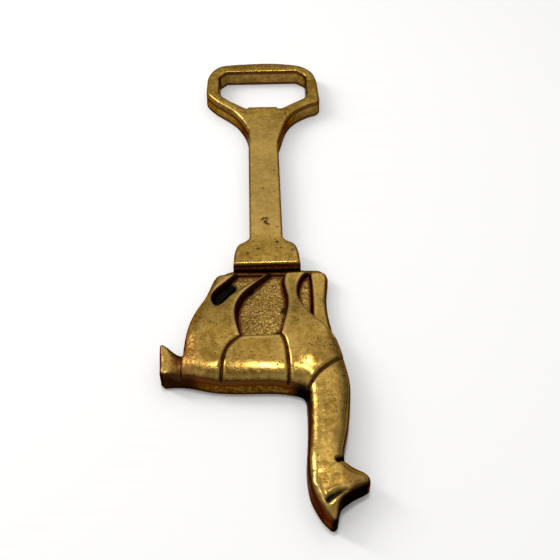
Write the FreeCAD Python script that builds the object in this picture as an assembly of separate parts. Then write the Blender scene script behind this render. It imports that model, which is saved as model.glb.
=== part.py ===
"""Cast brass bottle opener whose handle is a standing llama.

Units are millimetres. The opener lies on its flat back, which is the plane z = 0. The shank's centreline is
x = 0, and y = 0 is the end of the collar, where the llama's feet stand. The cap ring is towards +Y, and the
llama's head towards -Y. The real object is one casting, so the nodes are its own areas: they share their
boundaries exactly and meet face to face, with the seams in the casting's creases wherever it has one.
"""

import FreeCAD
import Part
import os

V = FreeCAD.Vector

# ---- Driving dimensions -------------------------------------------------------------------------------
RING_T = 5.6  # thickness of the cap ring and of the shank
COLLAR_T = 6.0
STRIP_T = 3.6  # the ground strip that the feet stand on
WEB_T = 2.6  # the sunk, textured floors between the legs
BODY_CROWN = 7.6  # highest point of rump and shoulder
PACK_CROWN = 7.9
HEAD_CROWN = 7.8
TAIL_T = 6.6
FAR_LEG_T = 5.0
FEET_T = 4.2  # how high the near legs still stand at the feet

SHANK_HALF = 4.7
SHANK_START = 12.0  # where the collar's fillets have run out
SHANK_END = 51.0  # where the ring's shoulders begin
STRIP_END = -1.9  # the lower side of the ground strip
EDGE = 0.6  # rounding of the opener's edges
LIP_HALF = 5.0
LIP_ROOT = 65.4
LIP_EDGE = 68.0
LIP_BEVEL_Y = 66.0
LIP_THICKNESS = 3.0  # what is left of the lip at its edge, above the bevel
RIM = 1.3  # rounding of the body's outer edges
HEAD_RIM = 1.0
NECK_CROWN = 7.8
NECK_FLANK = 3.2  # height of the upright flanks under the neck's round back
TALL = 20.0  # taller than everything, for cutters


# ---- Helpers ------------------------------------------------------------------------------------------
def curve(points):
    """A smooth edge through the points."""
    spline = Part.BSplineCurve()
    spline.interpolate([V(x, y, 0) for x, y in points])
    return spline.toShape()


def line(a, b):
    return Part.makeLine(V(*a, 0), V(*b, 0))


def outline(*stretches):
    """A face inside stretches laid end to end. A stretch of two points is straight, a longer one is smooth.
    Each one starts where the one before ends, and the last one returns to the first point."""
    edges = []
    start = stretches[0][0]
    here = start
    for stretch in stretches:
        points = stretch if stretch[0] == here else [here] + stretch
        edges.append(line(*points) if len(points) == 2 else curve(points))
        here = points[-1]
    if here != start:
        edges.append(line(here, start))
    return Part.Face(Part.Wire(edges))


def box(x0, x1, y0, y1, z0=0.0, z1=TALL):
    return Part.makeBox(x1 - x0, y1 - y0, z1 - z0, V(x0, y0, z0))


def slab(face, height):
    return face.extrude(V(0, 0, height))


def crowned(face, crown, height, drop, reach):
    """The face raised to a gentle dome: height at the crown point, lower by drop at the distance reach."""
    radius = (reach * reach + drop * drop) / (2 * drop)
    ball = Part.makeSphere(radius, V(crown[0], crown[1], height - radius))
    return slab(face, height + 1).common(ball)


def top_edges(solid, height, keep_off=()):
    """The edges at that height, apart from those in the straight seams y = keep_off."""
    found = []
    for edge in solid.Edges:
        bounds = edge.BoundBox
        level = abs(bounds.ZMin - height) < 1e-3 and abs(bounds.ZMax - height) < 1e-3
        on_seam = any(abs(bounds.YMin - y) < 1e-3 and abs(bounds.YMax - y) < 1e-3 for y in keep_off)
        if level and not on_seam:
            found.append(edge)
    return found


def rounded(solid, border, radius):
    """The solid with its upper edges rounded where they run above the border, a wire in the plane z = 0."""
    found = []
    for edge in solid.Edges:
        middle = edge.valueAt((edge.FirstParameter + edge.LastParameter) / 2)
        on_border = border.distToShape(Part.Vertex(middle.x, middle.y, 0))[0] < 0.01
        if on_border and edge.BoundBox.ZMin > radius + 0.5:
            found.append(edge)
    return solid.makeFillet(radius, found)


# ---- The opener: ring, lip, shank and collar ----------------------------------------------------------
def ring_blank():
    """Everything above the shank, as a solid plate with the cap opening cut through it."""
    outside = outline(
        [(SHANK_HALF, SHANK_END), (5.6, 54.2), (6.9, 59.0), (9.1, 63.5), (12.6, 66.8), (16.4, 69.0)],
        [(18.5, 70.0), (19.3, 72.0)],
        [(19.0, 79.4), (18.5, 83.3), (17.6, 85.9), (16.0, 88.0), (14.0, 89.5), (12.3, 90.2)],
        [(8.4, 91.0), (2.5, 91.6), (-1.8, 91.6), (-7.4, 91.4), (-13.2, 90.8)],
        [(-15.1, 89.8), (-16.7, 88.1), (-18.0, 85.6), (-18.6, 82.9)],
        [(-18.8, 77.0)],
        [(-18.4, 74.8), (-17.0, 72.6), (-15.2, 70.4)],
        [(-11.0, 66.6), (-8.3, 63.5), (-6.6, 60.4), (-5.3, 57.0), (-SHANK_HALF, SHANK_END)],
    )
    opening = outline(
        [(LIP_HALF, LIP_ROOT), (LIP_HALF, 67.3)],
        [(6.3, 67.2)],
        [(12.7, 71.3)],
        [(14.5, 72.9), (15.1, 75.2)],
        [(15.2, 83.9)],
        [(14.6, 84.9)],
        [(12.2, 87.0)],
        [(-12.1, 87.0)],
        [(-14.1, 84.9)],
        [(-14.5, 83.9)],
        [(-14.5, 75.8)],
        [(-13.2, 73.7)],
        [(-10.8, 71.4)],
        [(-6.1, 67.9)],
        [(-LIP_HALF, 67.3)],
        [(-LIP_HALF, LIP_ROOT)],
    )
    return slab(outside.cut(opening).Faces[0], RING_T)


def opener_ring():
    ring = ring_blank()
    return ring.makeFillet(EDGE, top_edges(ring, RING_T, keep_off=(SHANK_END, LIP_ROOT)))


def cap_lip():
    """The tongue that catches under the cap: bevelled from below to a thinner edge."""
    profile = Part.makePolygon([
        V(-LIP_HALF, LIP_ROOT, 0),
        V(-LIP_HALF, LIP_BEVEL_Y, 0),
        V(-LIP_HALF, LIP_EDGE, RING_T - LIP_THICKNESS),
        V(-LIP_HALF, LIP_EDGE, RING_T),
        V(-LIP_HALF, LIP_ROOT, RING_T),
        V(-LIP_HALF, LIP_ROOT, 0),
    ])
    return Part.Face(profile).extrude(V(2 * LIP_HALF, 0, 0))


def shank():
    bar = box(-SHANK_HALF, SHANK_HALF, SHANK_START, SHANK_END, 0, RING_T)
    return bar.makeFillet(EDGE, top_edges(bar, RING_T, keep_off=(SHANK_START, SHANK_END)))


def collar():
    """The flat block that the shank widens into. Its top rises a little from the shank to the figure."""
    sides = [(5.1, 9.9), (6.2, 8.8), (7.7, 7.9), (8.6, 6.2), (9.1, 3.5), (9.4, 0.0)]
    face = outline(
        [(SHANK_HALF, SHANK_START)] + sides,
        [(-9.4, 0.0)],
        [(-x, y) for x, y in reversed(sides[:-1])] + [(-SHANK_HALF, SHANK_START)],
    )
    rise = Part.makePolygon([
        V(-TALL, SHANK_START, 0),
        V(-TALL, SHANK_START, RING_T),
        V(-TALL, 6.0, COLLAR_T),
        V(-TALL, 0, COLLAR_T),
        V(-TALL, 0, 0),
        V(-TALL, SHANK_START, 0),
    ])
    return slab(face, TALL).common(Part.Face(rise).extrude(V(2 * TALL, 0, 0)))


# ---- The llama's outline and the creases that divide it -----------------------------------------------
def silhouette():
    """The whole figure from the feet (y = 0) to the ear, as one face."""
    return outline(
        [(-9.6, 0.0), (-11.1, -0.5), (-13.0, -1.6), (-14.2, -2.9), (-15.3, -4.9), (-16.8, -9.4),
         (-18.0, -12.0), (-19.3, -14.3), (-20.5, -17.0), (-21.3, -20.2), (-21.8, -24.5), (-22.2, -27.7)],
        [(-24.5, -27.1), (-27.2, -25.7)],
        [(-27.9, -26.1)],
        [(-27.7, -30.5), (-27.5, -34.2)],
        [(-26.6, -35.1)],
        [(-23.2, -35.0), (-20.0, -35.4), (-16.0, -36.4), (-12.4, -37.0), (-8.8, -37.3), (-4.5, -37.4),
         (0.5, -37.5), (4.1, -37.9), (6.8, -38.5)],
        [(8.4, -39.4), (9.0, -41.8)],
        [(9.0, -45.7), (8.8, -50.0), (8.4, -54.5), (8.0, -58.8), (8.0, -61.5), (8.3, -64.5)],
        [(8.9, -66.8), (9.9, -69.0), (11.1, -71.0), (12.2, -72.2)],
        [(13.0, -72.8), (13.9, -72.3)],
        [(14.3, -70.6), (14.7, -69.1), (15.4, -67.8)],
        [(17.1, -66.6), (18.9, -65.6), (20.7, -64.8), (21.9, -63.9), (22.1, -63.0), (20.9, -61.3),
         (19.3, -60.3), (18.0, -59.7), (16.9, -59.0)],
        [(16.4, -57.4), (16.7, -55.4), (17.4, -52.9), (18.1, -50.2), (18.9, -45.4), (19.4, -41.4),
         (19.5, -37.5), (18.9, -33.2), (18.2, -28.8), (17.3, -25.2), (16.2, -20.3), (15.7, -16.0),
         (15.7, -12.0), (16.0, -8.4), (16.5, -5.0)],
        [(16.4, -2.7), (15.2, -0.9), (13.4, -0.3)],
        [(11.0, -0.2), (9.6, 0.0)],
    )


PACK_LEFT = [(-12.6, -40.0), (-12.1, -35.5), (-11.6, -30.8), (-10.7, -28.0), (-8.9, -25.8), (-6.9, -24.4)]
PACK_RIGHT = [(2.8, -24.1), (3.8, -25.6), (4.4, -28.5), (4.7, -32.5), (4.4, -40.0)]
BELLY_RIGHT = [(2.8, -24.1), (3.6, -20.2), (4.4, -17.0), (4.9, -14.0), (4.9, -10.4), (4.4, -7.2),
               (4.9, STRIP_END)]
BELLY_LEFT = [(1.0, STRIP_END), (-2.2, -4.9), (-5.0, -7.7), (-7.2, -11.0), (-8.2, -14.0), (-8.3, -18.0),
              (-6.9, -24.4)]
GAP_UPPER = [(-8.2, STRIP_END), (-10.4, -4.2), (-12.9, -6.8), (-14.4, -8.7), (-14.8, -10.6), (-14.4, -12.5),
             (-13.6, -13.5)]
GAP_LOWER = [(-13.6, -13.5), (-12.4, -12.6), (-10.6, -10.2), (-8.3, -7.9), (-6.1, -6.0), (-3.4, -4.1),
             (-0.8, STRIP_END)]
LEAF_LEFT = [(11.8, STRIP_END), (9.9, -3.5), (8.8, -5.8), (8.3, -8.8), (8.6, -11.8), (9.6, -14.3),
             (11.5, -17.5)]
LEAF_RIGHT = [(11.5, -17.5), (11.8, -12.0), (11.8, STRIP_END)]
FAR_LEG_CREASE = [(11.5, -17.5), (13.7, -20.1), (15.4, -22.2), (17.4, -25.0)]
NECK_CREASE = [(6.0, -41.4), (8.9, -39.8), (11.1, -37.0), (12.8, -35.2), (15.1, -33.5), (17.5, -31.9),
               (21.0, -30.4)]
JAW_CREASE = [(5.5, -60.8), (9.0, -61.4), (11.5, -61.6), (14.0, -59.8), (17.4, -58.5)]
EAR_CREASE = [(5.5, -67.6), (10.8, -67.4), (15.9, -68.4)]
TAIL_CREASE = [(-22.8, -25.0), (-22.0, -27.6), (-22.0, -31.0), (-21.6, -37.0)]
FAR_BELOW = -80.0
FAR_SIDE = 40.0


def divide(face):
    """The figure's face, divided along its creases into {node: face}. Each cutter takes its share of what
    the ones before have left, so that neighbours share the same boundary."""
    strip = outline(
        [(-FAR_SIDE, STRIP_END), (FAR_SIDE, STRIP_END)], [(FAR_SIDE, 1.0)], [(-FAR_SIDE, 1.0)]
    )
    pack = outline(PACK_LEFT, [PACK_RIGHT[0]], PACK_RIGHT)
    belly = outline(BELLY_LEFT, [BELLY_RIGHT[0]], BELLY_RIGHT)
    gap = outline(GAP_UPPER, GAP_LOWER)
    leaf = outline(LEAF_LEFT, LEAF_RIGHT)
    far_leg = outline(
        [LEAF_RIGHT[-1]] + LEAF_RIGHT[-2::-1], FAR_LEG_CREASE, [(FAR_SIDE, -25.0)], [(FAR_SIDE, STRIP_END)]
    )
    ear = outline(EAR_CREASE, [(FAR_SIDE, FAR_BELOW)], [(5.5, FAR_BELOW)])
    head = outline(JAW_CREASE, [(FAR_SIDE, -58.5)], [(FAR_SIDE, FAR_BELOW)], [(5.5, FAR_BELOW)])
    neck = outline(NECK_CREASE, [(FAR_SIDE, -30.4)], [(FAR_SIDE, FAR_BELOW)], [(5.5, FAR_BELOW)])
    tail = outline(TAIL_CREASE, [(-FAR_SIDE, -37.0)], [(-FAR_SIDE, -24.0)])
    left = outline([(-FAR_SIDE, 1.0), (-FAR_SIDE, -45.0)], [(-5.0, -45.0)], [(2.5, 1.0)])

    shares, rest = {}, face
    for name, cutter in [("ground_strip", strip), ("saddle_pack", pack), ("belly", belly), ("gap", gap),
                         ("leaf", leaf), ("far_front_leg", far_leg), ("ear", ear), ("head", head),
                         ("neck", neck), ("tail", tail), ("hindquarters", left)]:
        shares[name] = rest.common(cutter)
        rest = rest.cut(cutter)
    shares["forequarters"] = rest
    faces = {name: max(share.Faces, key=lambda f: f.Area) for name, share in shares.items()}
    lost = face.Area - sum(share.Area for share in faces.values())
    print(f"area of the figure that no node has: {lost:.3f} mm2")
    return faces


# ---- The llama's solids -------------------------------------------------------------------------------
def neck_solid(face):
    """Raised to a D section: a cone lying along the neck rounds it over from side to side."""
    base_radius, head_radius = 6.3, 4.8
    base, throat = V(14.2, -36.0, NECK_CROWN - base_radius), V(11.9, -62.0, NECK_CROWN - head_radius)
    along = throat - base
    spare = 0.3  # how far the cone runs on past both ends, as a share of its length
    flare = (base_radius - head_radius) * spare
    cone = Part.makeCone(base_radius + flare, head_radius - flare, along.Length * (1 + 2 * spare),
                         base - along * spare, along)
    flanks = box(-FAR_SIDE, FAR_SIDE, FAR_BELOW, 0, 0, NECK_FLANK)
    return slab(face, TALL).common(cone.fuse(flanks)).removeSplitter()


def llama_nodes():
    figure = silhouette()
    border = figure.OuterWire
    part = divide(figure)
    rump, shoulder, pack_middle, face_middle = (-14.0, -29.0), (10.5, -28.0), (-3.6, -31.0), (13.5, -64.0)
    fall = BODY_CROWN - FEET_T
    nodes = {
        "hindquarters": crowned(part["hindquarters"], rump, BODY_CROWN, fall, 27.0),
        "forequarters": crowned(part["forequarters"], shoulder, BODY_CROWN, fall, 26.0),
        "saddle_pack": crowned(part["saddle_pack"], pack_middle, PACK_CROWN, 0.8, 8.0),
        "head": crowned(part["head"], face_middle, HEAD_CROWN, 1.4, 8.0),
        "ear": crowned(part["ear"], (12.2, -66.0), HEAD_CROWN - 0.5, 1.2, 7.0),
        "tail": crowned(part["tail"], (-24.5, -31.0), TAIL_T, 0.4, 4.0),
    }
    for name in ("hindquarters", "forequarters", "saddle_pack"):
        nodes[name] = rounded(nodes[name], border, RIM)
    nodes["head"] = rounded(nodes["head"], border, HEAD_RIM)
    nodes["ground_strip"] = slab(part["ground_strip"], STRIP_T)
    nodes["leg_web"] = Part.Compound([slab(part[name], WEB_T) for name in ("belly", "gap", "leaf")])
    nodes["far_front_leg"] = slab(part["far_front_leg"], FAR_LEG_T)
    nodes["neck"] = neck_solid(part["neck"])
    return nodes


def main():
    nodes = {"opener_ring": opener_ring(), "cap_lip": cap_lip(), "shank": shank(), "collar": collar()}
    nodes.update(llama_nodes())
    os.makedirs("parts", exist_ok=True)
    for name, shape in nodes.items():
        solids = shape.Solids
        whole = Part.Compound(solids) if len(solids) > 1 else solids[0]
        whole.exportStep(os.path.join("parts", name + ".step"))
        bounds = whole.BoundBox
        print(f"{name:15s} solids {len(solids)} valid {whole.isValid()} volume {whole.Volume:9.1f} "
              f"x {bounds.XMin:6.1f} {bounds.XMax:6.1f} y {bounds.YMin:6.1f} {bounds.YMax:6.1f} "
              f"z {bounds.ZMax:4.2f}")


main()
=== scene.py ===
"""Looks of a cast brass bottle opener whose handle is a llama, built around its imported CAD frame.

The relief is a height over the plan, made of domes, rounded rims, creases, sunk floors and pits, and laid
out from the CAD nodes' own footprints. Each half of the opener, the figure and the lever, is turned into a
solid with drafted walls and meshed once. That mesh is then divided along the footprints into one closed
piece per CAD node, and neighbours share their surface, so the casting shows no false seams. Lengths are in
millimetres until a mesh is made, in the CAD's frame: +Y to the cap ring, +Z up, the figure's feet at y = 0.
"""

import math
from collections import Counter

import bpy
import numpy as np
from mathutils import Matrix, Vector


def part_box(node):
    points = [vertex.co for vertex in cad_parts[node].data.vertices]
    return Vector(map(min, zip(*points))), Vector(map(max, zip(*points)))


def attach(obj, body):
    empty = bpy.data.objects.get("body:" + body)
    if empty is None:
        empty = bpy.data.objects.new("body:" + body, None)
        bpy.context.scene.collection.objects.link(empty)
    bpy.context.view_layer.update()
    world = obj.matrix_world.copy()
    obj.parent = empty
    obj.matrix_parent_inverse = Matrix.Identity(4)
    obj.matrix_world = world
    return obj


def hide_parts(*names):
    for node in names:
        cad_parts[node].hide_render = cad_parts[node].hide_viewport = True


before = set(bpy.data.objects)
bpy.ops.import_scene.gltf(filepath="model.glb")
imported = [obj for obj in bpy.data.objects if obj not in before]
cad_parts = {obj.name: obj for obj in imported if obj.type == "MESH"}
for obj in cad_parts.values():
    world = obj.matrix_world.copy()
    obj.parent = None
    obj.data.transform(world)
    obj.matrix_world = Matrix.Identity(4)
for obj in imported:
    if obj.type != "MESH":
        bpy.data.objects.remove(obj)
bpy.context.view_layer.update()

MM = 0.001
BACK = 0.0  # height of the flat back
LEVER_NODES = ["opener_ring", "cap_lip", "shank", "collar"]
FIGURE_NODES = ["ground_strip", "leg_web", "far_front_leg", "hindquarters", "forequarters", "saddle_pack",
                "tail", "neck", "head", "ear"]
LEVER_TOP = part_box("shank")[1].z / MM
COLLAR_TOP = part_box("collar")[1].z / MM
FEET_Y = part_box("collar")[0].y / MM
FIGURE_STEP = 0.25  # spacing of the grid that the figure is meshed on
LEVER_STEP = 0.32
MARGIN = 2.0  # how far the grids reach past the outlines
DRAFT = 0.03  # how much the walls lean out towards the back, per unit of depth
RIM_ROUNDING, BACK_ROUNDING = 0.5, 0.25  # widths over which the walls round into the relief and the back
REACH = 9.5  # distances to outlines are measured up to here
SEAM_PROBE = 0.06  # how far beside an outline its neighbour is looked for
UNDER = BACK + 0.15  # a seam's points below this height run along the back

# The studio, in metres.
CAMERA_PLACE = (-0.0008, -0.1309, 0.1661)
CAMERA_AIM = (0.0207, 0.6153, -0.7880)
LENS_ANGLE = math.radians(41.06)
PAPER_HALF = 3.0  # half the width of the sheet under the opener
PAPER_Z = -0.00005  # just under the back
PAPER_COLOUR = (0.98, 0.98, 0.98)
SKY_COLOUR = (1.0, 0.99, 0.97)
# Along each axis of the direction, the sky's strength passes from low at start to high at end.
SKY_FADES = [
    ("Z", 0.40, 0.78, 0.45, 1.21),
    ("Z", 0.96, 0.86, 0.40, 1.0),
    ("Y", -0.55, 0.15, 0.50, 1.0),
    ("X", 0.75, 0.25, 0.50, 1.0),
]
# Small soft lights that face the origin: name, place, width, height and watts.
PANELS = [
    ("overhead", (0.0, 0.06, 0.62), 0.07, 0.07, 1.0),
    ("left", (-0.48, 0.22, 0.36), 0.10, 0.30, 1.3),
]

# Colours of the aged brass, as linear red, green and blue.
BRASS_DULL, BRASS_CLEAN = (0.20, 0.112, 0.018), (0.43, 0.268, 0.060)
BRASS_STAINED = (0.15, 0.075, 0.012)
BRASS_RUBBED = (0.62, 0.42, 0.14)
BRASS_GRAIN = (0.64, 0.45, 0.17)  # the bright grains of a rough floor
# The walls' colours hold their patina together with painted shade.
WALL_PATINA_SHADE_DARK, WALL_PATINA_SHADE_LIGHT = (0.14, 0.075, 0.016), (0.32, 0.19, 0.050)
WALL_BLOTCH = (0.035, 0.016, 0.005)
RUST = (0.50, 0.21, 0.045)
PIT = (0.055, 0.022, 0.006)
# Also the colour of painted shade on some masses, on the walls and at their feet.
GRIME_AND_SHADE = (0.10, 0.030, 0.008)
SOOT = (0.006, 0.007, 0.005)
GRAZING_TINT = (0.36, 0.25, 0.13)
BUMP_HEIGHT = 0.00012  # of the finest unevenness, in metres


# ---- Camera and light ---------------------------------------------------------------------------------
def add_camera():
    """Close in front of the figure and above it, looking along the opener."""
    data = bpy.data.cameras.new("camera")
    data.angle = LENS_ANGLE
    data.clip_start = 0.01
    camera = bpy.data.objects.new("camera", data)
    bpy.context.scene.collection.objects.link(camera)
    camera.location = CAMERA_PLACE
    camera.rotation_mode = "QUATERNION"
    camera.rotation_quaternion = Vector(CAMERA_AIM).to_track_quat("-Z", "Y")
    bpy.context.scene.camera = camera


def add_panel(name, place, width, height, watts):
    """A soft rectangular light that faces the origin."""
    data = bpy.data.lights.new(name, "AREA")
    data.shape = "RECTANGLE"
    data.size = width
    data.size_y = height
    data.energy = watts
    light = bpy.data.objects.new(name, data)
    bpy.context.scene.collection.objects.link(light)
    light.location = place
    light.rotation_mode = "QUATERNION"
    light.rotation_quaternion = (-Vector(place)).to_track_quat("-Z", "Y")


def add_sky():
    """Soft white light, brightest high up behind, that dims to the horizon, top, right and front."""
    world = bpy.data.worlds.new("sky")
    world.use_nodes = True
    tree = world.node_tree
    tree.nodes["Background"].inputs["Color"].default_value = (*SKY_COLOUR, 1)
    direction = tree.nodes.new("ShaderNodeTexCoord")
    parts = tree.nodes.new("ShaderNodeSeparateXYZ")
    tree.links.new(direction.outputs["Generated"], parts.inputs[0])
    strength = None
    for axis, start, end, low, high in SKY_FADES:
        fade = tree.nodes.new("ShaderNodeMapRange")
        fade.interpolation_type = "SMOOTHSTEP"
        for name, value in {"From Min": start, "From Max": end, "To Min": low, "To Max": high}.items():
            fade.inputs[name].default_value = value
        tree.links.new(parts.outputs[axis], fade.inputs["Value"])
        if strength is None:
            strength = fade.outputs["Result"]
        else:
            product = tree.nodes.new("ShaderNodeMath")
            product.operation = "MULTIPLY"
            tree.links.new(strength, product.inputs[0])
            tree.links.new(fade.outputs["Result"], product.inputs[1])
            strength = product.outputs[0]
    tree.links.new(strength, tree.nodes["Background"].inputs["Strength"])
    bpy.context.scene.world = world


def add_floor():
    """A plain white sheet under the opener."""
    corners = [(x * PAPER_HALF, y * PAPER_HALF, PAPER_Z) for x, y in ((-1, -1), (1, -1), (1, 1), (-1, 1))]
    mesh = bpy.data.meshes.new("floor")
    mesh.from_pydata(corners, [], [(0, 1, 2, 3)])
    floor = bpy.data.objects.new("floor", mesh)
    bpy.context.scene.collection.objects.link(floor)
    paper = bpy.data.materials.new("white_paper")
    paper.use_nodes = True
    surface = paper.node_tree.nodes["Principled BSDF"]
    surface.inputs["Base Color"].default_value = (*PAPER_COLOUR, 1)
    surface.inputs["Roughness"].default_value = 0.9
    mesh.materials.append(paper)


def add_studio():
    """A white floor under a soft sky, with one small light overhead and a tall one on the left."""
    bpy.context.scene.view_settings.view_transform = "Standard"
    add_sky()
    for panel in PANELS:
        add_panel(*panel)
    add_floor()


# ---- Footprints of the CAD nodes ----------------------------------------------------------------------
def footprint(node):
    """The outline of the node's plan as segments, an array (n, 2, 2) of x and y."""
    low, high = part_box(node)
    if node == "cap_lip":  # bevelled from below, so its flat underside is smaller than its plan
        x0, y0, x1, y1 = low.x / MM, low.y / MM, high.x / MM, high.y / MM
        ring = np.array([(x0, y0), (x1, y0), (x1, y1), (x0, y1)])
        return np.stack([ring, np.roll(ring, -1, axis=0)], axis=1)
    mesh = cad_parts[node].data
    mesh.calc_loop_triangles()
    points = np.empty(len(mesh.vertices) * 3)
    mesh.vertices.foreach_get("co", points)
    points = points.reshape(-1, 3) / MM
    corners = np.empty(len(mesh.loop_triangles) * 3, dtype=int)
    mesh.loop_triangles.foreach_get("vertices", corners)
    corners = corners.reshape(-1, 3)
    under = corners[(points[:, 2] < BACK + 0.01)[corners].all(axis=1)]
    _, same = np.unique(np.round(points, 3), axis=0, return_inverse=True)
    edges = np.concatenate([under[:, [0, 1]], under[:, [1, 2]], under[:, [2, 0]]])
    keys = np.sort(same.ravel()[edges], axis=1)
    _, first, count = np.unique(keys, axis=0, return_index=True, return_counts=True)
    return points[edges[first[count == 1]]][:, :, :2]


def contains(segments, x, y):
    """Which of the points (x, y) lie inside the outline."""
    inside = np.zeros(x.shape, dtype=bool)
    for (ax, ay), (bx, by) in segments:
        if ay != by:
            crosses = (ay <= y) != (by <= y)
            inside ^= crosses & (x < ax + (y - ay) * (bx - ax) / (by - ay))
    return inside


def beside(segments):
    """The points just left and just right of each segment's middle."""
    middle = segments.mean(axis=1)
    along = segments[:, 1] - segments[:, 0]
    normal = np.stack([-along[:, 1], along[:, 0]], axis=1)
    normal /= np.linalg.norm(normal, axis=1, keepdims=True) + 1e-9
    return middle + SEAM_PROBE * normal, middle - SEAM_PROBE * normal


def in_any(nodes, points):
    """Which of the points lie inside any of the nodes' footprints."""
    inside = np.zeros(len(points), dtype=bool)
    for node in nodes:
        inside |= contains(FOOTPRINTS[node], points[:, 0], points[:, 1])
    return inside


def outer_edge(nodes):
    """The segments of the nodes' footprints that have the nodes on one side only."""
    segments = np.concatenate([FOOTPRINTS[node] for node in nodes])
    left, right = beside(segments)
    return segments[in_any(nodes, left) != in_any(nodes, right)]


def seam(node, other):
    """The segments of the node's footprint that run along the other node's."""
    segments = FOOTPRINTS[node]
    left, right = beside(segments)
    return segments[in_any([other], left) | in_any([other], right)]


FOOTPRINTS = {node: footprint(node) for node in LEVER_NODES + FIGURE_NODES}


# ---- Maps over the plan -------------------------------------------------------------------------------
def step(a, b, value):
    """A smooth step from 0 at a to 1 at b."""
    t = np.clip((value - a) / (b - a), 0, 1)
    return t * t * (3 - 2 * t)


def mix(a, b, share):
    """The value that is that share of the way from a to b."""
    return a + (b - a) * share


def smooth_max(a, b, width):
    """The larger of two values, rounded over where they are within width of each other."""
    h = np.maximum(width - np.abs(a - b), 0) / width
    return np.maximum(a, b) + h * h * width / 4


def round_edge(inward, reach, drop):
    """A rim that falls by drop over the last reach before the edge, as a quarter of an ellipse."""
    t = 1 - np.clip(inward / reach, 0, 1)
    return -drop * (1 - np.sqrt(1 - t * t))


def soft_edge(inward, reach, drop):
    """The same, but meeting the edge at a slope and not upright."""
    return -drop * (1 - np.clip(inward / reach, 0, 1)) ** 2


def smooth_path(points, spacing=0.4):
    """A smooth curve through the points, as segments."""
    points = np.array(points, dtype=float)
    padded = np.concatenate([[2 * points[0] - points[1]], points, [2 * points[-1] - points[-2]]])
    path = []
    for a, b, c, d in zip(padded, padded[1:], padded[2:], padded[3:]):
        count = max(2, int(np.linalg.norm(c - b) / spacing))
        t = np.linspace(0, 1, count, endpoint=False)[:, None]
        path.append(0.5 * (2 * b + (c - a) * t + (2 * a - 5 * b + 4 * c - d) * t ** 2
                           + (3 * b - a - 3 * c + d) * t ** 3))
    path = np.concatenate(path + [points[-1:]])
    return np.stack([path[:-1], path[1:]], axis=1)


class Plan:
    """A grid over part of the plan. Maps on it are arrays with x first."""

    def __init__(self, low, high, spacing):
        self.spacing = spacing
        self.xs = np.arange(low[0], high[0], spacing)
        self.ys = np.arange(low[1], high[1], spacing)
        self.x, self.y = np.meshgrid(self.xs, self.ys, indexing="ij")

    def distance(self, segments, reach=REACH, along=False):
        """How far each grid point is from the segments, up to reach. With along, also how far along them
        the nearest point is, from 0 to 1."""
        nearest = np.full(self.x.shape, reach)
        place = np.zeros(self.x.shape)
        for index, (a, b) in enumerate(segments):
            low = np.minimum(a, b) - reach
            high = np.maximum(a, b) + reach
            i = slice(*np.searchsorted(self.xs, (low[0], high[0])))
            j = slice(*np.searchsorted(self.ys, (low[1], high[1])))
            run = b - a
            px, py = self.x[i, j] - a[0], self.y[i, j] - a[1]
            t = np.clip((px * run[0] + py * run[1]) / max(run @ run, 1e-12), 0, 1)
            d = np.hypot(px - t * run[0], py - t * run[1])
            closer = d < nearest[i, j]
            nearest[i, j] = np.where(closer, d, nearest[i, j])
            place[i, j] = np.where(closer, (index + t) / len(segments), place[i, j])
        return (nearest, place) if along else nearest

    def inside(self, segments):
        """Which grid points lie inside the outline."""
        inside = np.zeros(self.x.shape, dtype=bool)
        for (ax, ay), (bx, by) in segments:
            j = np.nonzero((self.ys >= min(ay, by)) & (self.ys < max(ay, by)))[0]
            if len(j):
                crossing = ax + (self.ys[j] - ay) * (bx - ax) / (by - ay)
                inside[:, j] ^= self.xs[:, None] < crossing[None, :]
        return inside

    def depth(self, segments):
        """How far inside the outline each grid point is, and negative outside."""
        d = self.distance(segments)
        return np.where(self.inside(segments), d, -d)

    def blob(self, x, y, radius, stretch=1.0, turn=0.0):
        """A soft spot of height 1, stretched along the direction turn, in degrees from +X."""
        c, s = math.cos(math.radians(turn)), math.sin(math.radians(turn))
        along = (self.x - x) * c + (self.y - y) * s
        across = (self.y - y) * c - (self.x - x) * s
        return np.exp(-((along / (radius * stretch)) ** 2 + (across / radius) ** 2))

    def line(self, points, width, fade_in=0.0, fade_out=0.0):
        """A soft line of height 1 through the points. It can fade in and out over a share of it."""
        d, place = self.distance(smooth_path(points), 3 * width + 1, along=True)
        shape = np.exp(-(d / width) ** 2)
        if fade_in:
            shape = shape * step(0, fade_in, place)
        if fade_out:
            shape = shape * step(0, fade_out, 1 - place)
        return shape

    def noise(self, size, seed, octaves=1):
        """Smooth noise from -1 to 1 with features of that size."""
        total = np.zeros(self.x.shape)
        weight = 1.0
        for octave in range(octaves):
            cell = size / 2 ** octave
            total += weight * lattice_noise(self.x / cell, self.y / cell, seed + 17 * octave)
            weight *= 0.5
        return total

    def blur(self, values, radius):
        """The map smoothed by a Gaussian of that radius."""
        sigma = radius / self.spacing
        half = max(1, int(3 * sigma))
        kernel = np.exp(-0.5 * (np.arange(-half, half + 1) / sigma) ** 2)
        kernel /= kernel.sum()
        for axis in (0, 1):
            padding = [(half, half) if axis == a else (0, 0) for a in (0, 1)]
            padded = np.pad(values, padding, mode="edge")
            count = values.shape[axis]
            values = sum(weight * np.take(padded, np.arange(k, k + count), axis=axis)
                         for k, weight in enumerate(kernel))
        return values

    def sample(self, values, x, y):
        """The map's values at any points, by bilinear interpolation."""
        u = np.clip((x - self.xs[0]) / self.spacing, 0, len(self.xs) - 1.001)
        v = np.clip((y - self.ys[0]) / self.spacing, 0, len(self.ys) - 1.001)
        i, j = u.astype(int), v.astype(int)
        fu, fv = u - i, v - j
        return ((values[i, j] * (1 - fu) + values[i + 1, j] * fu) * (1 - fv)
                + (values[i, j + 1] * (1 - fu) + values[i + 1, j + 1] * fu) * fv)


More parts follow.
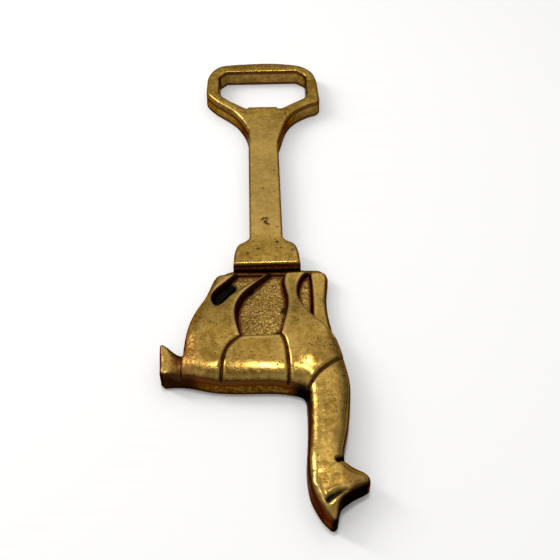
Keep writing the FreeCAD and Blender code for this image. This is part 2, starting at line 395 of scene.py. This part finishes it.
def lattice_noise(u, v, seed):
    """Values from a fixed lattice of random numbers, smoothly joined."""
    lattice = np.random.default_rng(seed).uniform(-1, 1, (256, 256))
    i, j = np.floor(u).astype(int), np.floor(v).astype(int)
    fu, fv = u - i, v - j
    fu, fv = fu * fu * (3 - 2 * fu), fv * fv * (3 - 2 * fv)
    a, b = lattice[i % 256, j % 256], lattice[(i + 1) % 256, j % 256]
    c, d = lattice[i % 256, (j + 1) % 256], lattice[(i + 1) % 256, (j + 1) % 256]
    return mix(mix(a, b, fu), mix(c, d, fu), fv)


def spread(plan, spots):
    """Maps of the values in spots, rows of (x, y, value, ...), weighted by nearness."""
    weights = 0
    totals = [0] * (len(spots[0]) - 2)
    for x, y, *values in spots:
        weight = 1 / (np.hypot(plan.x - x, plan.y - y) + 0.5) ** 3
        weights = weights + weight
        totals = [total + weight * value for total, value in zip(totals, values)]
    return [total / weights for total in totals]


# ---- The figure's relief ------------------------------------------------------------------------------
# Heights of the figure's areas above the back.
STRIP_TOP = 3.4
FLOOR_TOP = 2.5  # the sunk floors between the legs
GAP_FLOOR = 1.6
FOOT_TOP = 4.6
BODY_TOP = 7.6
PACK_TOP = BODY_TOP + 0.3
FAR_FOOT_TOP, FAR_LEG_TOP = 3.9, 5.2
NECK_TOP = 7.7
HEAD_TOP = 7.6
EAR_TOP = 7.4
TAIL_TOP = 6.6
CREASE_DEPTH = 0.40
SEAM_BLEND = 0.3  # half the width over which a node's height passes into its neighbours'
WIDER_BLENDS = {"leg_web": 0.4, "tail": 1.2, "head": 1.2, "ear": 0.8}

# The slash of the eye, from the brow's edge to the muzzle.
EYE = [(11.4, -68.9), (12.5, -67.9), (13.9, -67.2), (15.3, -66.5), (17.0, -66.0)]

# The rim along the silhouette: where, how far in it starts to fall, and by how much it falls.
FIGURE_RIM = [
    (-12.0, -2.5, 1.5, 0.9), (-16.5, -9.0, 2.8, 2.0), (-21.2, -19.5, 4.2, 3.6), (-22.2, -27.0, 4.2, 3.4),
    (-28.0, -27.0, 0.7, 0.7), (-27.0, -34.5, 0.9, 1.4), (-20.0, -35.4, 5.5, 2.6), (-11.0, -37.1, 6.4, 2.9),
    (-3.0, -37.4, 6.6, 2.9), (5.0, -37.9, 6.4, 3.0), (9.0, -42.5, 3.6, 3.3), (8.6, -52.0, 3.2, 3.1),
    (8.0, -60.0, 2.6, 2.6), (8.5, -66.0, 1.6, 1.7), (11.0, -71.0, 1.5, 1.7), (13.9, -72.0, 0.9, 1.2),
    (17.0, -66.5, 1.2, 0.9), (20.9, -64.6, 1.4, 1.1), (22.0, -63.2, 2.6, 2.8), (19.0, -60.2, 3.6, 3.2),
    (16.6, -57.6, 2.6, 2.0), (17.6, -52.5, 3.8, 1.9), (19.2, -42.0, 3.8, 1.8), (19.0, -35.0, 3.8, 1.8),
    (17.4, -26.5, 3.8, 2.0), (15.5, -17.0, 1.2, 0.8), (16.0, -6.0, 1.2, 0.8),
]


def fall(plan, node, others, reach, drop):
    """How the node's surface falls towards its seams with the others."""
    seams = np.concatenate([seam(node, other) for other in others])
    return soft_edge(plan.distance(seams, reach), reach, drop)


def figure_heights(plan):
    """The height that each node would have over the whole plan, before creases."""
    x, y = plan.x, plan.y
    body = FOOT_TOP + (BODY_TOP - FOOT_TOP) * step(-2, -24, y)
    far_leg = mix(FAR_FOOT_TOP, FAR_LEG_TOP, step(-4, -22, y))
    # Every crease and sunk floor is rounded over by the masses beside it.
    pack = PACK_TOP - 0.3 * ((x + 3.6) / 8) ** 2
    pack = pack + fall(plan, "saddle_pack", ["hindquarters", "forequarters", "leg_web"], 1.2, 0.45)
    hind = body + 0.15 * plan.blob(-15, -27, 6)
    hind = hind + fall(plan, "hindquarters", ["saddle_pack", "leg_web", "ground_strip"], 1.3, 0.5)
    fore = body + 0.15 * plan.blob(10, -27, 6) + 0.6 * plan.blob(10.2, -30.6, 3.3, 1.3)
    fore = fore + fall(plan, "forequarters", ["saddle_pack", "leg_web", "far_front_leg", "neck"], 1.3, 0.5)
    neck = NECK_TOP + fall(plan, "neck", ["forequarters"], 1.0, 0.3)
    neck = neck - 0.3 * step(14.5, 19, x + 0.09 * (y + 36))
    head = HEAD_TOP - 0.9 * step(15, 22, x)
    ear = EAR_TOP - 0.9 * step(-68, -73, y)
    tail = TAIL_TOP - 0.9 * step(-26.0, -22.5, x)
    return {
        "ground_strip": np.full(x.shape, STRIP_TOP),
        "leg_web": np.full(x.shape, FLOOR_TOP),
        "far_front_leg": far_leg + fall(plan, "far_front_leg", ["forequarters", "leg_web"], 0.9, 0.35),
        "hindquarters": hind,
        "forequarters": fore,
        "saddle_pack": pack,
        "neck": neck,
        "head": head,
        "ear": ear,
        "tail": tail,
    }


def crease_lines(plan):
    """How deep the narrow lines between the figure's masses are, from 0 to 1. They fade at the chest."""
    creases = [
        ("saddle_pack", "hindquarters", 0.21),
        ("saddle_pack", "forequarters", 0.21),
        ("far_front_leg", "forequarters", 0.26),
        ("neck", "forequarters", 0.28),
    ]
    total = np.zeros(plan.x.shape)
    for node, other, width in creases:
        total = np.maximum(total, np.exp(-(plan.distance(seam(node, other), 2.5) / width) ** 2))
    return total * mix(1.0, 0.45, step(10, 17, plan.x) * step(-26, -30, plan.y))


def join(plan, heights):
    """One height map from the nodes' own, each passing smoothly into its neighbours' at their seams."""
    depth = {node: plan.depth(FOOTPRINTS[node]) for node in heights}
    deepest = np.max(list(depth.values()), axis=0)
    total = weights = 0
    for node, height in heights.items():
        segments = FOOTPRINTS[node]
        left, right = beside(segments)
        shared = segments[in_any(FIGURE_NODES, left) & in_any(FIGURE_NODES, right)]
        away = plan.distance(shared, 3.0)
        width = WIDER_BLENDS.get(node, SEAM_BLEND)
        weight = step(-width, width, np.where(depth[node] >= deepest, away, -away)) + 1e-6
        total = total + weight * height
        weights = weights + weight
    return total / weights


def figure_relief(plan, edge):
    """The figure's height map and the maps that its material reads."""
    height = join(plan, figure_heights(plan))

    # The gap between the hind legs is the deepest place.
    floor = plan.depth(FOOTPRINTS["leg_web"])
    gap = plan.line([(-14.2, -11.4), (-13.2, -9.6), (-11.6, -7.6), (-9.8, -5.6)], 1.1)
    height = height - (FLOOR_TOP - GAP_FLOOR) * gap * step(-0.3, 0.4, floor)
    crease = crease_lines(plan)
    height = height - CREASE_DEPTH * crease

    reach, drop = spread(plan, FIGURE_RIM)
    height = height + round_edge(edge, reach, drop)
    height = height + face_relief(plan)

    rough, rust = figure_roughness(plan, floor)
    grain = plan.noise(0.6, 3, octaves=2)
    height = height + 0.07 * rough * grain + 0.03 * plan.noise(5.0, 8, octaves=2)
    return {"height": height, "grime_and_shade": figure_grime_and_shade(plan, edge, floor, crease),
            "black": figure_soot(plan, floor, gap), "rough": rough, "rust": rust,
            "wall_shade_and_patina": dark_walls_shade_and_patina(plan), "worn": np.zeros(edge.shape)}


def figure_roughness(plan, floor):
    """Where the figure is rough as cast, on sunk floors, the strip and the rump, and where it is rusty."""
    rough = np.clip(step(0.2, 0.7, floor) + 0.5 * step(-3.2, -2.2, plan.y) * step(-17, -15, plan.x)
                    + 1.0 * plan.blob(-21.3, -29.5, 2.8, 2.4, 82), 0, 1)
    rump = plan.line([(-18.6, -14.0), (-20.6, -20.0), (-21.6, -26.0), (-21.6, -32.5)], 1.5, 0.4)
    rust = np.clip(1.5 * plan.blob(-21.2, -30.0, 2.2, 2.4, 82) + 0.5 * rump, 0, 1)
    return np.maximum(rough, 0.8 * rump), rust


def figure_grime_and_shade(plan, edge, floor, crease):
    """Dirt in the creases and along the floors' rims, darker along the silhouette and thinly on the thigh,
    with painted shade on the pack's middle, the snout and the tail.
    """
    rim = step(0.8, 0.2, np.abs(floor - 0.05))
    halo_and_shade = 0.34 * np.exp(-((edge - 0.2) / 0.9) ** 2) + 0.34 * step(2.0, 0.3, np.abs(floor))
    halo_and_shade = halo_and_shade + 0.45 * plan.blur(crease, 0.8) + 0.5 * step(0.7, 0.05, edge)
    # Painted shade on the tail, darkest towards its root, where it also has pits.
    tail = 0.65 * plan.blob(-23.2, -30.5, 1.3, 2.6, 85) + 0.35 * plan.blob(-26.0, -30.0, 2.6, 1.6, 85)
    # Painted shade on the pack's middle, away from its highlight by the spine.
    pack = step(0.3, 2.5, plan.depth(FOOTPRINTS["saddle_pack"])) * step(-34.5, -31.0, plan.y)
    thigh = plan.blob(-17.0, -22.0, 4.0, 1.8, 70)
    # Painted shade that darkens the snout and face.
    muzzle = plan.blob(17.5, -62.5, 4.0)
    halo_and_shade = halo_and_shade + tail + 0.38 * pack + 0.22 * thigh + 0.5 * muzzle
    return np.clip(1.2 * crease + 1.0 * rim + halo_and_shade, 0, 1)


def figure_soot(plan, floor, gap):
    """The black places: spots on the sunk floors, the notch over the tail, the eye and under the chin."""
    spots = (1.4 * plan.blob(-4.6, -7.6, 0.7, 1.7, 40) + 1.4 * plan.blob(3.9, -13.8, 0.6, 1.9, 80)
             + 1.2 * plan.blob(2.1, -21.2, 0.6, 1.7, 60))
    notch = 1.6 * plan.line([(-22.3, -23.4), (-22.2, -26.0), (-22.6, -28.8)], 0.65, 0.1, 0.3)
    eye = 1.5 * plan.line(EYE, 0.45, 0.1, 0.5) + 1.2 * plan.blob(12.2, -68.2, 0.6, 1.5, 45)
    chin = (1.4 * plan.line([(13.6, -59.3), (15.4, -58.6), (17.0, -58.3)], 0.55, 0.3)
            + 1.4 * plan.blob(16.9, -57.9, 0.8, 1.4, 100))
    return np.clip(2.2 * gap * step(-0.5, 0.0, floor) + spots * step(-0.1, 0.3, floor)
                   + notch + eye + chin, 0, 1)


def dark_walls_shade_and_patina(plan):
    """How dark the upright walls are along the silhouette: painted shade together with their patina."""
    stretches = [
        ([(-28.5, -34.6), (-23.0, -35.3), (-17.5, -36.2), (-13.0, -36.7)], 0.74, 0.5),
        ([(9.0, -42.0), (8.2, -39.3), (4.5, -38.0), (0.5, -37.5)], 0.85, 0.7),
        ([(9.0, -43.0), (8.8, -50.0), (8.0, -58.8), (8.5, -65.5), (10.5, -70.0), (12.6, -72.7)], 0.6, 0.1),
        ([(13.5, -72.6), (14.5, -69.8), (15.6, -67.8), (18.9, -65.6), (22.1, -63.6)], 0.9, 0.1),
    ]
    return np.max([share * plan.line(points, 1.6, 0.0, fade) for points, share, fade in stretches], axis=0)


def face_relief(plan):
    """The eye's hollow under its brow, the edge of the face and the notch under the chin."""
    brow = plan.line([(11.6, -66.9), (12.6, -66.2), (13.9, -65.6), (15.4, -65.2)], 0.5, 0.2, 0.3)
    eye = plan.line(EYE, 0.5, 0.1, 0.2)
    ridge = plan.line([(9.6, -63.6), (10.1, -66.2), (10.9, -69.0), (12.3, -71.4)], 0.6, 0.2, 0.1)
    chin = plan.line([(14.1, -59.2), (15.4, -58.7), (16.9, -58.4)], 0.5, 0.3)
    return 0.25 * brow - 0.4 * eye + 0.2 * ridge - 1.3 * chin


# ---- The lever's relief -------------------------------------------------------------------------------
def bevel(inward, width, drop):
    """An edge cut off at a slant over its last width."""
    return -smooth_max(np.zeros(inward.shape), drop * (1 - inward / width), 0.25)


def lever_marks(plan):
    """An irregular pit on the shank and small casting pits, from 0 to 1."""
    mark = plan.line([(-1.1, 17.0), (-0.4, 17.7), (0.6, 17.4), (0.5, 16.6), (-0.3, 16.5), (0.0, 15.7),
                      (0.9, 15.2)], 0.30)
    mark = mark * step(-0.35, 0.25, plan.noise(0.8, 31) + 0.1)
    pits = [
        (3.3, 14.1, 0.30), (-0.6, 30.0, 0.28), (3.1, 37.6, 0.25), (2.9, 28.4, 0.2), (-5.4, 4.1, 0.35),
        (7.3, 5.0, 0.35), (-2.5, 5.8, 0.35), (-1.8, 5.6, 0.25), (4.0, 6.0, 0.3), (3.0, 8.2, 0.4),
        (-3.6, 8.8, 0.3),
    ]
    for x, y, radius in pits:
        mark = np.maximum(mark, plan.blob(x, y, radius))
    return mark


def lever_relief(plan, edge):
    """The flat bar, its ring and its collar, a little uneven and bevelled along their edges."""
    y = plan.y
    height = mix(COLLAR_TOP, LEVER_TOP, step(4.0, 11.0, y))
    shoulder = plan.line([(-18.6, 74.6), (-15.2, 70.6), (-11.0, 66.9), (-8.2, 63.6), (-5.2, 57.0)], 1.6)
    inner_bar = step(82.0, 84.0, y) * step(89.0, 88.0, y) * step(15.0, 13.0, np.abs(plan.x))
    slant = 0.30 + 0.20 * step(14.0, 4.0, y) + 0.70 * shoulder
    slant = slant - 0.17 * inner_bar
    height = height + bevel(edge, slant, slant - 0.05) + soft_edge(edge, 2.0, 0.08)
    height = height + 0.03 * plan.noise(6.0, 21, octaves=2)
    mark = lever_marks(plan)
    stains = 0.45 * plan.blob(0.8, 33.0, 1.2, 1.8) + 0.55 * plan.blob(-0.5, 62.5, 1.2, 1.5)
    stains = stains + 0.30 * plan.blob(3.5, 8.0, 1.6) + 0.25 * step(0.7, 0.1, edge)
    none = np.zeros(y.shape)
    return {"height": height - 0.12 * mark, "grime_and_shade": np.clip(1.3 * mark + stains, 0, 1),
            "black": 0.5 * mark, "rough": none, "rust": none, "wall_shade_and_patina": none,
            "worn": 0.5 * step(8, 14, y) * step(66, 52, y)}


# ---- Meshing ------------------------------------------------------------------------------------------
class Casting:
    """One half of the opener as a solid: under its height map, inside its drafted walls, above its back and
    on one side of the plane y = FEET_Y, towards -Y where end_side is 1 and towards +Y where it is -1."""

    def __init__(self, nodes, spacing, relief, end_side):
        self.nodes = nodes
        outer = outer_edge(nodes)
        low = outer.min(axis=(0, 1)) - MARGIN
        high = outer.max(axis=(0, 1)) + MARGIN
        self.plan = Plan(low, high, spacing)
        inside = np.zeros(self.plan.x.shape, dtype=bool)
        for node in nodes:
            inside |= self.plan.inside(FOOTPRINTS[node])
        away = self.plan.distance(outer)
        self.edge = np.where(inside, away, -away)
        self.maps = relief(self.plan, self.edge)
        self.maps["sunk"] = self.sunk_map()
        self.end_side = end_side

    def sunk_map(self):
        """How far each place lies below its surroundings, and negative where it stands out."""
        height = np.where(self.edge > 0, self.maps["height"], LEVER_TOP)
        sunk = np.clip(self.plan.blur(height, 0.7) - height, -1, 1)
        return sunk * step(0.0, 1.0, self.edge)

    def look_up(self, name, x, y):
        """The values of one of the maps at any points."""
        return self.plan.sample(self.maps[name], x, y)

    def field(self, x, y, z):
        """Below zero inside the solid, above zero outside."""
        height = self.look_up("height", x, y)
        wall = -self.plan.sample(self.edge, x, y) - DRAFT * (LEVER_TOP - z)
        value = smooth_max(z - height, wall, RIM_ROUNDING)
        value = smooth_max(value, BACK - z, BACK_ROUNDING)
        return np.maximum(value, self.end_side * (y - FEET_Y))

    def gradient(self, points, gap=0.12):
        """The field's slope at the points, taken over twice the gap."""
        slopes = []
        for axis in range(3):
            shift = np.zeros(3)
            shift[axis] = gap
            slopes.append((self.field(*(points + shift).T) - self.field(*(points - shift).T)) / (2 * gap))
        return np.stack(slopes, axis=1)

    def mesh(self):
        """The solid's surface: points, their outward directions and four-cornered faces."""
        plan = self.plan
        zs = np.arange(BACK - 0.6, self.maps["height"].max() + 0.9, plan.spacing)
        grid = np.empty((len(plan.xs), len(plan.ys), len(zs)), dtype=np.float32)
        for k, z in enumerate(zs):
            grid[:, :, k] = self.field(plan.x, plan.y, z)
        origin = np.array([plan.xs[0], plan.ys[0], zs[0]])
        points, faces = surface_nets(grid)
        points = origin + points * plan.spacing
        # Slide the points onto the surface itself, in small steps.
        for _ in range(3):
            slope = self.gradient(points)
            value = self.field(*points.T)
            move = slope * (value / np.maximum((slope ** 2).sum(axis=1), 0.25))[:, None]
            points = points - np.clip(move, -0.3 * plan.spacing, 0.3 * plan.spacing)
        slope = self.gradient(points)
        return points, slope / np.linalg.norm(slope, axis=1, keepdims=True), faces


def surface_nets(grid):
    """The surface where the grid's values pass through zero, as points and four-cornered faces."""
    points, number = net_points(grid)
    return points, net_faces(grid < 0, number)


def net_points(grid):
    """A point in each cell that the surface crosses, and the number of each cell's point."""
    shape = np.array(grid.shape) - 1
    total = np.zeros(tuple(shape) + (3,), dtype=np.float32)
    count = np.zeros(tuple(shape), dtype=np.float32)
    ends = [slice(None, -1), slice(1, None)]
    for axis in range(3):
        others = [a for a in range(3) if a != axis]
        for p in (0, 1):
            for q in (0, 1):
                near, far = [None] * 3, [None] * 3
                near[axis], far[axis] = ends
                near[others[0]] = far[others[0]] = ends[p]
                near[others[1]] = far[others[1]] = ends[q]
                a, b = grid[tuple(near)], grid[tuple(far)]
                cut = (a < 0) != (b < 0)
                place = np.where(cut, a / np.where(cut, a - b, 1), 0)
                total[..., axis] += place
                total[..., others[0]] += p * cut
                total[..., others[1]] += q * cut
                count += cut
    cells = np.argwhere(count > 0)
    number = np.full(tuple(shape), -1)
    number[tuple(cells.T)] = np.arange(len(cells))
    return cells + total[tuple(cells.T)] / count[tuple(cells.T)][:, None], number


def net_faces(below, number):
    """A face round each of the grid's edges that the surface cuts, turned outwards."""
    ends = [slice(None, -1), slice(1, None)]
    faces = []
    for axis in range(3):
        one, two = (axis + 1) % 3, (axis + 2) % 3
        near, far = [slice(1, -1)] * 3, [slice(1, -1)] * 3
        near[axis], far[axis] = ends
        a, b = below[tuple(near)], below[tuple(far)]
        crossings = np.argwhere(a != b)
        outward = a[tuple(crossings.T)]
        crossings[:, one] += 1
        crossings[:, two] += 1
        corners = []
        for di, dj in ((0, 0), (1, 0), (1, 1), (0, 1)):
            cell = crossings.copy()
            cell[:, one] -= 1 - di
            cell[:, two] -= 1 - dj
            corners.append(number[tuple(cell.T)])
        quad = np.stack(corners, axis=1)
        quad[~outward] = quad[~outward][:, ::-1]
        faces.append(quad)
    return np.concatenate(faces)


def owners(casting, points, faces):
    """Which node each face belongs to: the one whose footprint its middle is deepest in."""
    plan = casting.plan
    x, y, _ = points[faces].mean(axis=1).T
    depths = [plan.sample(plan.depth(FOOTPRINTS[node]), x, y) for node in casting.nodes]
    return np.argmax(depths, axis=0)


def border_loops(faces):
    """The closed loops of points along the open border of some faces, in the border's own direction."""
    edges = np.concatenate([faces[:, [k, (k + 1) % 4]] for k in range(4)])
    forward = Counter(map(tuple, edges.tolist()))
    backward = Counter(map(tuple, edges[:, ::-1].tolist()))
    following = {}
    for a, b in (forward - backward).elements():
        following.setdefault(a, []).append(b)
    loops = []
    while following:
        start = next(iter(following))
        loop = [start]
        here = start
        while True:
            step_to = following[here].pop()
            if not following[here]:
                del following[here]
            if step_to == start:
                break
            loop.append(step_to)
            here = step_to
        loops.append(loop)
    return loops


def zip_chains(points, top, bottom):
    """Triangles between two chains of points that run side by side, with the shortest rungs in plan."""
    rungs = np.linalg.norm(points[top][:, None, :2] - points[bottom][None, :, :2], axis=2)
    rows, columns = rungs.shape
    cost = np.zeros(rungs.shape)
    cost[0] = np.cumsum(rungs[0])
    cost[:, 0] = np.cumsum(rungs[:, 0])
    for diagonal in range(2, rows + columns - 1):
        i = np.arange(max(1, diagonal - columns + 1), min(rows, diagonal))
        j = diagonal - i
        cost[i, j] = rungs[i, j] + np.minimum(cost[i - 1, j], cost[i, j - 1])
    faces = []
    i, j = rows - 1, columns - 1
    while i or j:
        if j == 0 or (i and cost[i - 1, j] <= cost[i, j - 1]):
            faces.append((top[i - 1], top[i], bottom[j]))
            i -= 1
        else:
            faces.append((top[i], bottom[j], bottom[j - 1]))
            j -= 1
    return [face for face in faces if len(set(face)) == 3]


def cap(points, loops):
    """Upright walls that close a piece along its seams. Each seam runs over the relief and back along
    the underside, either in one loop or, round an area with no outer wall, in two."""
    faces = []
    whole = []
    for loop in loops:
        under = np.array([points[p][2] < UNDER for p in loop])
        if under.all() or not under.any():
            whole.append((loop, under.all()))
            continue
        first = next(k for k in range(len(loop)) if under[k] and not under[k - 1])
        loop = loop[first:] + loop[:first]
        count = next((k for k in range(len(loop)) if points[loop[k]][2] >= UNDER), len(loop))
        bottom = loop[:count]
        top = [bottom[-1]] + loop[count:] + [bottom[0]]
        faces += zip_chains(points, top, bottom[::-1])
    tops = [loop for loop, is_under in whole if not is_under]
    for loop in [loop for loop, is_under in whole if is_under]:
        here = points[loop[0]][:2]
        nearest = min(tops, key=lambda t: np.linalg.norm(points[t][:, :2] - here, axis=1).min())
        k = int(np.argmin(np.linalg.norm(points[nearest][:, :2] - here, axis=1)))
        top = nearest[k:] + nearest[:k + 1]
        bottom = (loop + loop[:1])[::-1]
        faces += zip_chains(points, top, bottom)
    return faces


def node_pieces(casting, material):
    """Divides the casting's surface into one closed piece per node and puts each in the scene."""
    points, normals, faces = casting.mesh()
    owner = owners(casting, points, faces)
    for index, node in enumerate(casting.nodes):
        own = faces[owner == index]
        used, renumbered = np.unique(own, return_inverse=True)
        own = renumbered.reshape(-1, 4)
        local = points[used]
        caps = [face[::-1] for face in cap(local, border_loops(own))]
        mesh = bpy.data.meshes.new(node + "_cast")
        mesh.from_pydata((local * MM).tolist(), [], own.tolist() + caps)
        paint(mesh, casting, local, normals[used])
        mesh.polygons.foreach_set("use_smooth", [True] * len(own) + [False] * len(caps))
        smooth = normals[used][own.ravel()]
        flat = [face_normal(local, face) for face in caps]
        mesh.normals_split_custom_set(np.concatenate([smooth] + flat).tolist())
        mesh.materials.append(material)
        piece = bpy.data.objects.new(node + "_cast", mesh)
        bpy.context.scene.collection.objects.link(piece)
        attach(piece, "root")
        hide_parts(node)


def face_normal(points, face):
    """The face's direction, once for each of its corners."""
    a, b, c = (points[p] for p in face)
    normal = np.cross(b - a, c - a)
    return np.tile(normal / (np.linalg.norm(normal) + 1e-12), (3, 1))


# ---- Patina and material ------------------------------------------------------------------------------
def paint(mesh, casting, points, normals):
    """Stores how soiled and painted-shaded, black, rough, rubbed, rusty and wall-brown each point is, for
    the material; the wall brown is patina together with painted shade.
    """
    x, y, z = points.T
    edge = casting.plan.sample(casting.edge, x, y)
    below = casting.look_up("height", x, y) - z
    sunk = casting.look_up("sunk", x, y)
    # Upright walls, by how steeply they face; they are browned with their patina together with painted
    # shade.
    wall = step(0.72, 0.42, normals[:, 2]) * step(1.3, 0.5, edge)
    if casting.end_side < 0:
        wall = np.maximum(wall, step(0.15, 0.02, y - FEET_Y))
    wall_shade_and_patina = wall * casting.look_up("wall_shade_and_patina", x, y)
    # Dirt gathers just under the rims; the darkening where the walls meet the table is a painted contact
    # shadow.
    rim_dirt_and_base_shadow = np.exp(-((below - 0.7) / 0.5) ** 2) + 0.9 * step(1.6, 0.3, z)
    rim_dirt_and_base_shadow = rim_dirt_and_base_shadow * step(0.05, 0.4, below) * step(0.6, 0.1, edge)
    dirt_and_shade = casting.look_up("grime_and_shade", x, y) * (1 - wall * step(0.1, 0.5, below))
    values = {
        # Besides soiling, the sum holds painted shade: on all walls, on the darker wall stretches and where
        # the walls meet the table.
        "grime_and_shade": dirt_and_shade + 0.8 * np.clip(sunk, 0, 1) + 0.15 * wall + 0.75 * wall_shade_and_patina + rim_dirt_and_base_shadow,
        # The darkest wall stretches turn black: painted shade together with their patina.
        "black": casting.look_up("black", x, y) + step(0.45, 0.85, wall_shade_and_patina),
        "rough": casting.look_up("rough", x, y),
        "rubbed": np.clip(casting.look_up("worn", x, y) - 2.5 * sunk, 0, 1) * (1 - wall),
        "rust": casting.look_up("rust", x, y),
        # How brown the walls are, patina together with painted shade, less on the ring's walls.
        "wall": wall * mix(1.0, 0.35, step(58, 72, y)),
    }
    for name, value in values.items():
        layer = mesh.attributes.new(name, "FLOAT", "POINT")
        layer.data.foreach_set("value", np.clip(value, 0, 1).astype(np.float32))


class Shader:
    """Short names for building a material's nodes."""

    def __init__(self, name):
        self.material = bpy.data.materials.new(name)
        self.material.use_nodes = True
        self.tree = self.material.node_tree
        self.surface = self.tree.nodes["Principled BSDF"]

    def node(self, kind, inputs=None, **settings):
        made = self.tree.nodes.new(kind)
        for key, value in settings.items():
            setattr(made, key, value)
        for key, value in (inputs or {}).items():
            self.put(made.inputs[key], value)
        return made

    def put(self, socket, value):
        """Links the value to the socket if it comes from a node, and sets it directly if not."""
        if isinstance(value, bpy.types.NodeSocket):
            self.tree.links.new(value, socket)
        else:
            socket.default_value = value

    def attribute(self, name):
        """A value that paint() stored at the mesh's points."""
        return self.node("ShaderNodeAttribute", attribute_name=name).outputs["Fac"]

    def math(self, operation, a, b=0.0, clamp=False):
        return self.node("ShaderNodeMath", {0: a, 1: b}, operation=operation, use_clamp=clamp).outputs[0]

    def noise(self, where, scale, detail=2.0, roughness=0.5):
        made = self.node("ShaderNodeTexNoise", {"Vector": where, "Scale": scale, "Detail": detail,
                                                "Roughness": roughness})
        return made.outputs["Fac"]

    def ramp(self, value, low, high, to_low=0.0, to_high=1.0):
        """A smooth step from to_low where the value is low to to_high where it is high."""
        made = self.node("ShaderNodeMapRange", {"Value": value, "From Min": low, "From Max": high,
                                                "To Min": to_low, "To Max": to_high})
        made.interpolation_type = "SMOOTHSTEP"
        return made.outputs["Result"]

    def blend(self, share, a, b):
        """The colour that is that share of the way from a to b."""
        made = self.node("ShaderNodeMix", data_type="RGBA")
        self.put(made.inputs["Factor"], share)
        for socket, value in ((made.inputs[6], a), (made.inputs[7], b)):
            self.put(socket, (*value, 1.0) if isinstance(value, tuple) else value)
        return made.outputs[2]


def bare_brass(s, where, mottle, grain):
    """The metal's colour before soiling: stained, rubbed golden, brown on the walls with their patina and
    painted shade, rusty in places.
    """
    clouds = s.noise(where, 0.10, 3.0)
    tone = s.math("ADD", s.math("MULTIPLY", clouds, 0.35), s.math("MULTIPLY", mottle, 0.40))
    tone = s.math("ADD", tone, s.math("MULTIPLY", grain, 0.25))
    tone = s.ramp(tone, 0.38, 0.62)
    brass = s.blend(tone, BRASS_DULL, BRASS_CLEAN)
    stain = s.ramp(s.noise(where, 0.24, 4.0, 0.65), 0.50, 0.68, 0.0, 0.50)
    brass = s.blend(stain, brass, BRASS_STAINED)
    brass = s.blend(s.math("MULTIPLY", s.attribute("rubbed"), 0.5), brass, BRASS_RUBBED)
    blotch = s.ramp(s.noise(where, 1.3, 3.0, 0.65), 0.47, 0.57, 0.0, 0.8)
    # The walls are browned: their patina together with painted shade.
    brown = s.blend(blotch, s.blend(tone, WALL_PATINA_SHADE_DARK, WALL_PATINA_SHADE_LIGHT), WALL_BLOTCH)
    brass = s.blend(s.math("MULTIPLY", s.attribute("wall"), 0.95), brass, brown)
    rusty = s.math("MULTIPLY", s.attribute("rust"), s.ramp(grain, 0.40, 0.56))
    return s.blend(rusty, brass, RUST)


def fine_pits(s, where):
    """Small scattered pits, fewer where the metal is rubbed."""
    cells = s.node("ShaderNodeTexVoronoi", {"Vector": where, "Scale": 1.0}).outputs["Distance"]
    pits = s.math("MULTIPLY", s.ramp(cells, 0.30, 0.15), s.ramp(s.noise(where, 0.35), 0.38, 0.54))
    unrubbed = s.math("SUBTRACT", 1.0, s.math("MULTIPLY", s.attribute("rubbed"), 1.6), clamp=True)
    return s.math("MULTIPLY", pits, unrubbed)


def aged_brass():
    """Brass, golden where it is rubbed, brown on the walls with patina and painted shade, dark red in
    creases, with painted shade on some masses, and black in the gap.
    """
    s = Shader("aged_brass")
    where = s.node("ShaderNodeMapping", {"Vector": s.node("ShaderNodeTexCoord").outputs["Object"],
                                         "Scale": (1000.0, 1000.0, 1000.0)}).outputs["Vector"]
    mottle = s.noise(where, 0.7, 3.0, 0.6)
    grain = s.noise(where, 2.6, 2.0, 0.6)
    black, rough = s.attribute("black"), s.attribute("rough")
    brass = bare_brass(s, where, mottle, grain)

    pits = fine_pits(s, where)
    sand = s.math("MULTIPLY", s.ramp(s.noise(where, 3.4, 2.0, 0.6), 0.46, 0.58), rough)
    speck = s.math("ADD", pits, s.math("MULTIPLY", sand, 0.8), clamp=True)
    bright = s.math("MULTIPLY", s.ramp(s.noise(where, 2.9, 2.0, 0.6), 0.54, 0.66), rough)
    broken = s.math("ADD", s.attribute("grime_and_shade"), s.math("MULTIPLY", s.math("SUBTRACT", mottle, 0.5), 0.5))
    dirt_and_shade = s.ramp(broken, 0.25, 0.85)
    colour = s.blend(s.math("MULTIPLY", bright, 0.7), brass, BRASS_GRAIN)
    colour = s.blend(s.math("MULTIPLY", speck, 0.9), colour, PIT)
    # Soiling, together with painted shade.
    colour = s.blend(s.math("MULTIPLY", dirt_and_shade, 0.93), colour, GRIME_AND_SHADE)
    colour = s.blend(black, colour, SOOT)
    s.put(s.surface.inputs["Base Color"], colour)

    s.surface.inputs["Metallic"].default_value = 1.0
    s.surface.inputs["Specular Tint"].default_value = (*GRAZING_TINT, 1)
    cover = s.math("MAXIMUM", s.math("MULTIPLY", dirt_and_shade, 0.75), black)
    dull = s.math("MULTIPLY", s.math("MAXIMUM", cover, rough), 0.2)
    s.put(s.surface.inputs["Roughness"], s.math("ADD", dull, s.ramp(mottle, 0.3, 0.7, 0.19, 0.29)))

    bumps = s.math("ADD", s.math("MULTIPLY", s.noise(where, 1.6, 3.0, 0.6), 0.4),
                   s.math("MULTIPLY", s.math("MULTIPLY", grain, rough), 2.0))
    bumps = s.math("SUBTRACT", bumps, s.math("MULTIPLY", pits, 0.6))
    bump = s.node("ShaderNodeBump", {"Height": bumps, "Strength": 0.35, "Distance": BUMP_HEIGHT})
    s.put(s.surface.inputs["Normal"], bump.outputs["Normal"])
    return s.material


def main():
    add_camera()
    add_studio()
    brass = aged_brass()
    node_pieces(Casting(FIGURE_NODES, FIGURE_STEP, figure_relief, 1), brass)
    node_pieces(Casting(LEVER_NODES, LEVER_STEP, lever_relief, -1), brass)


main()
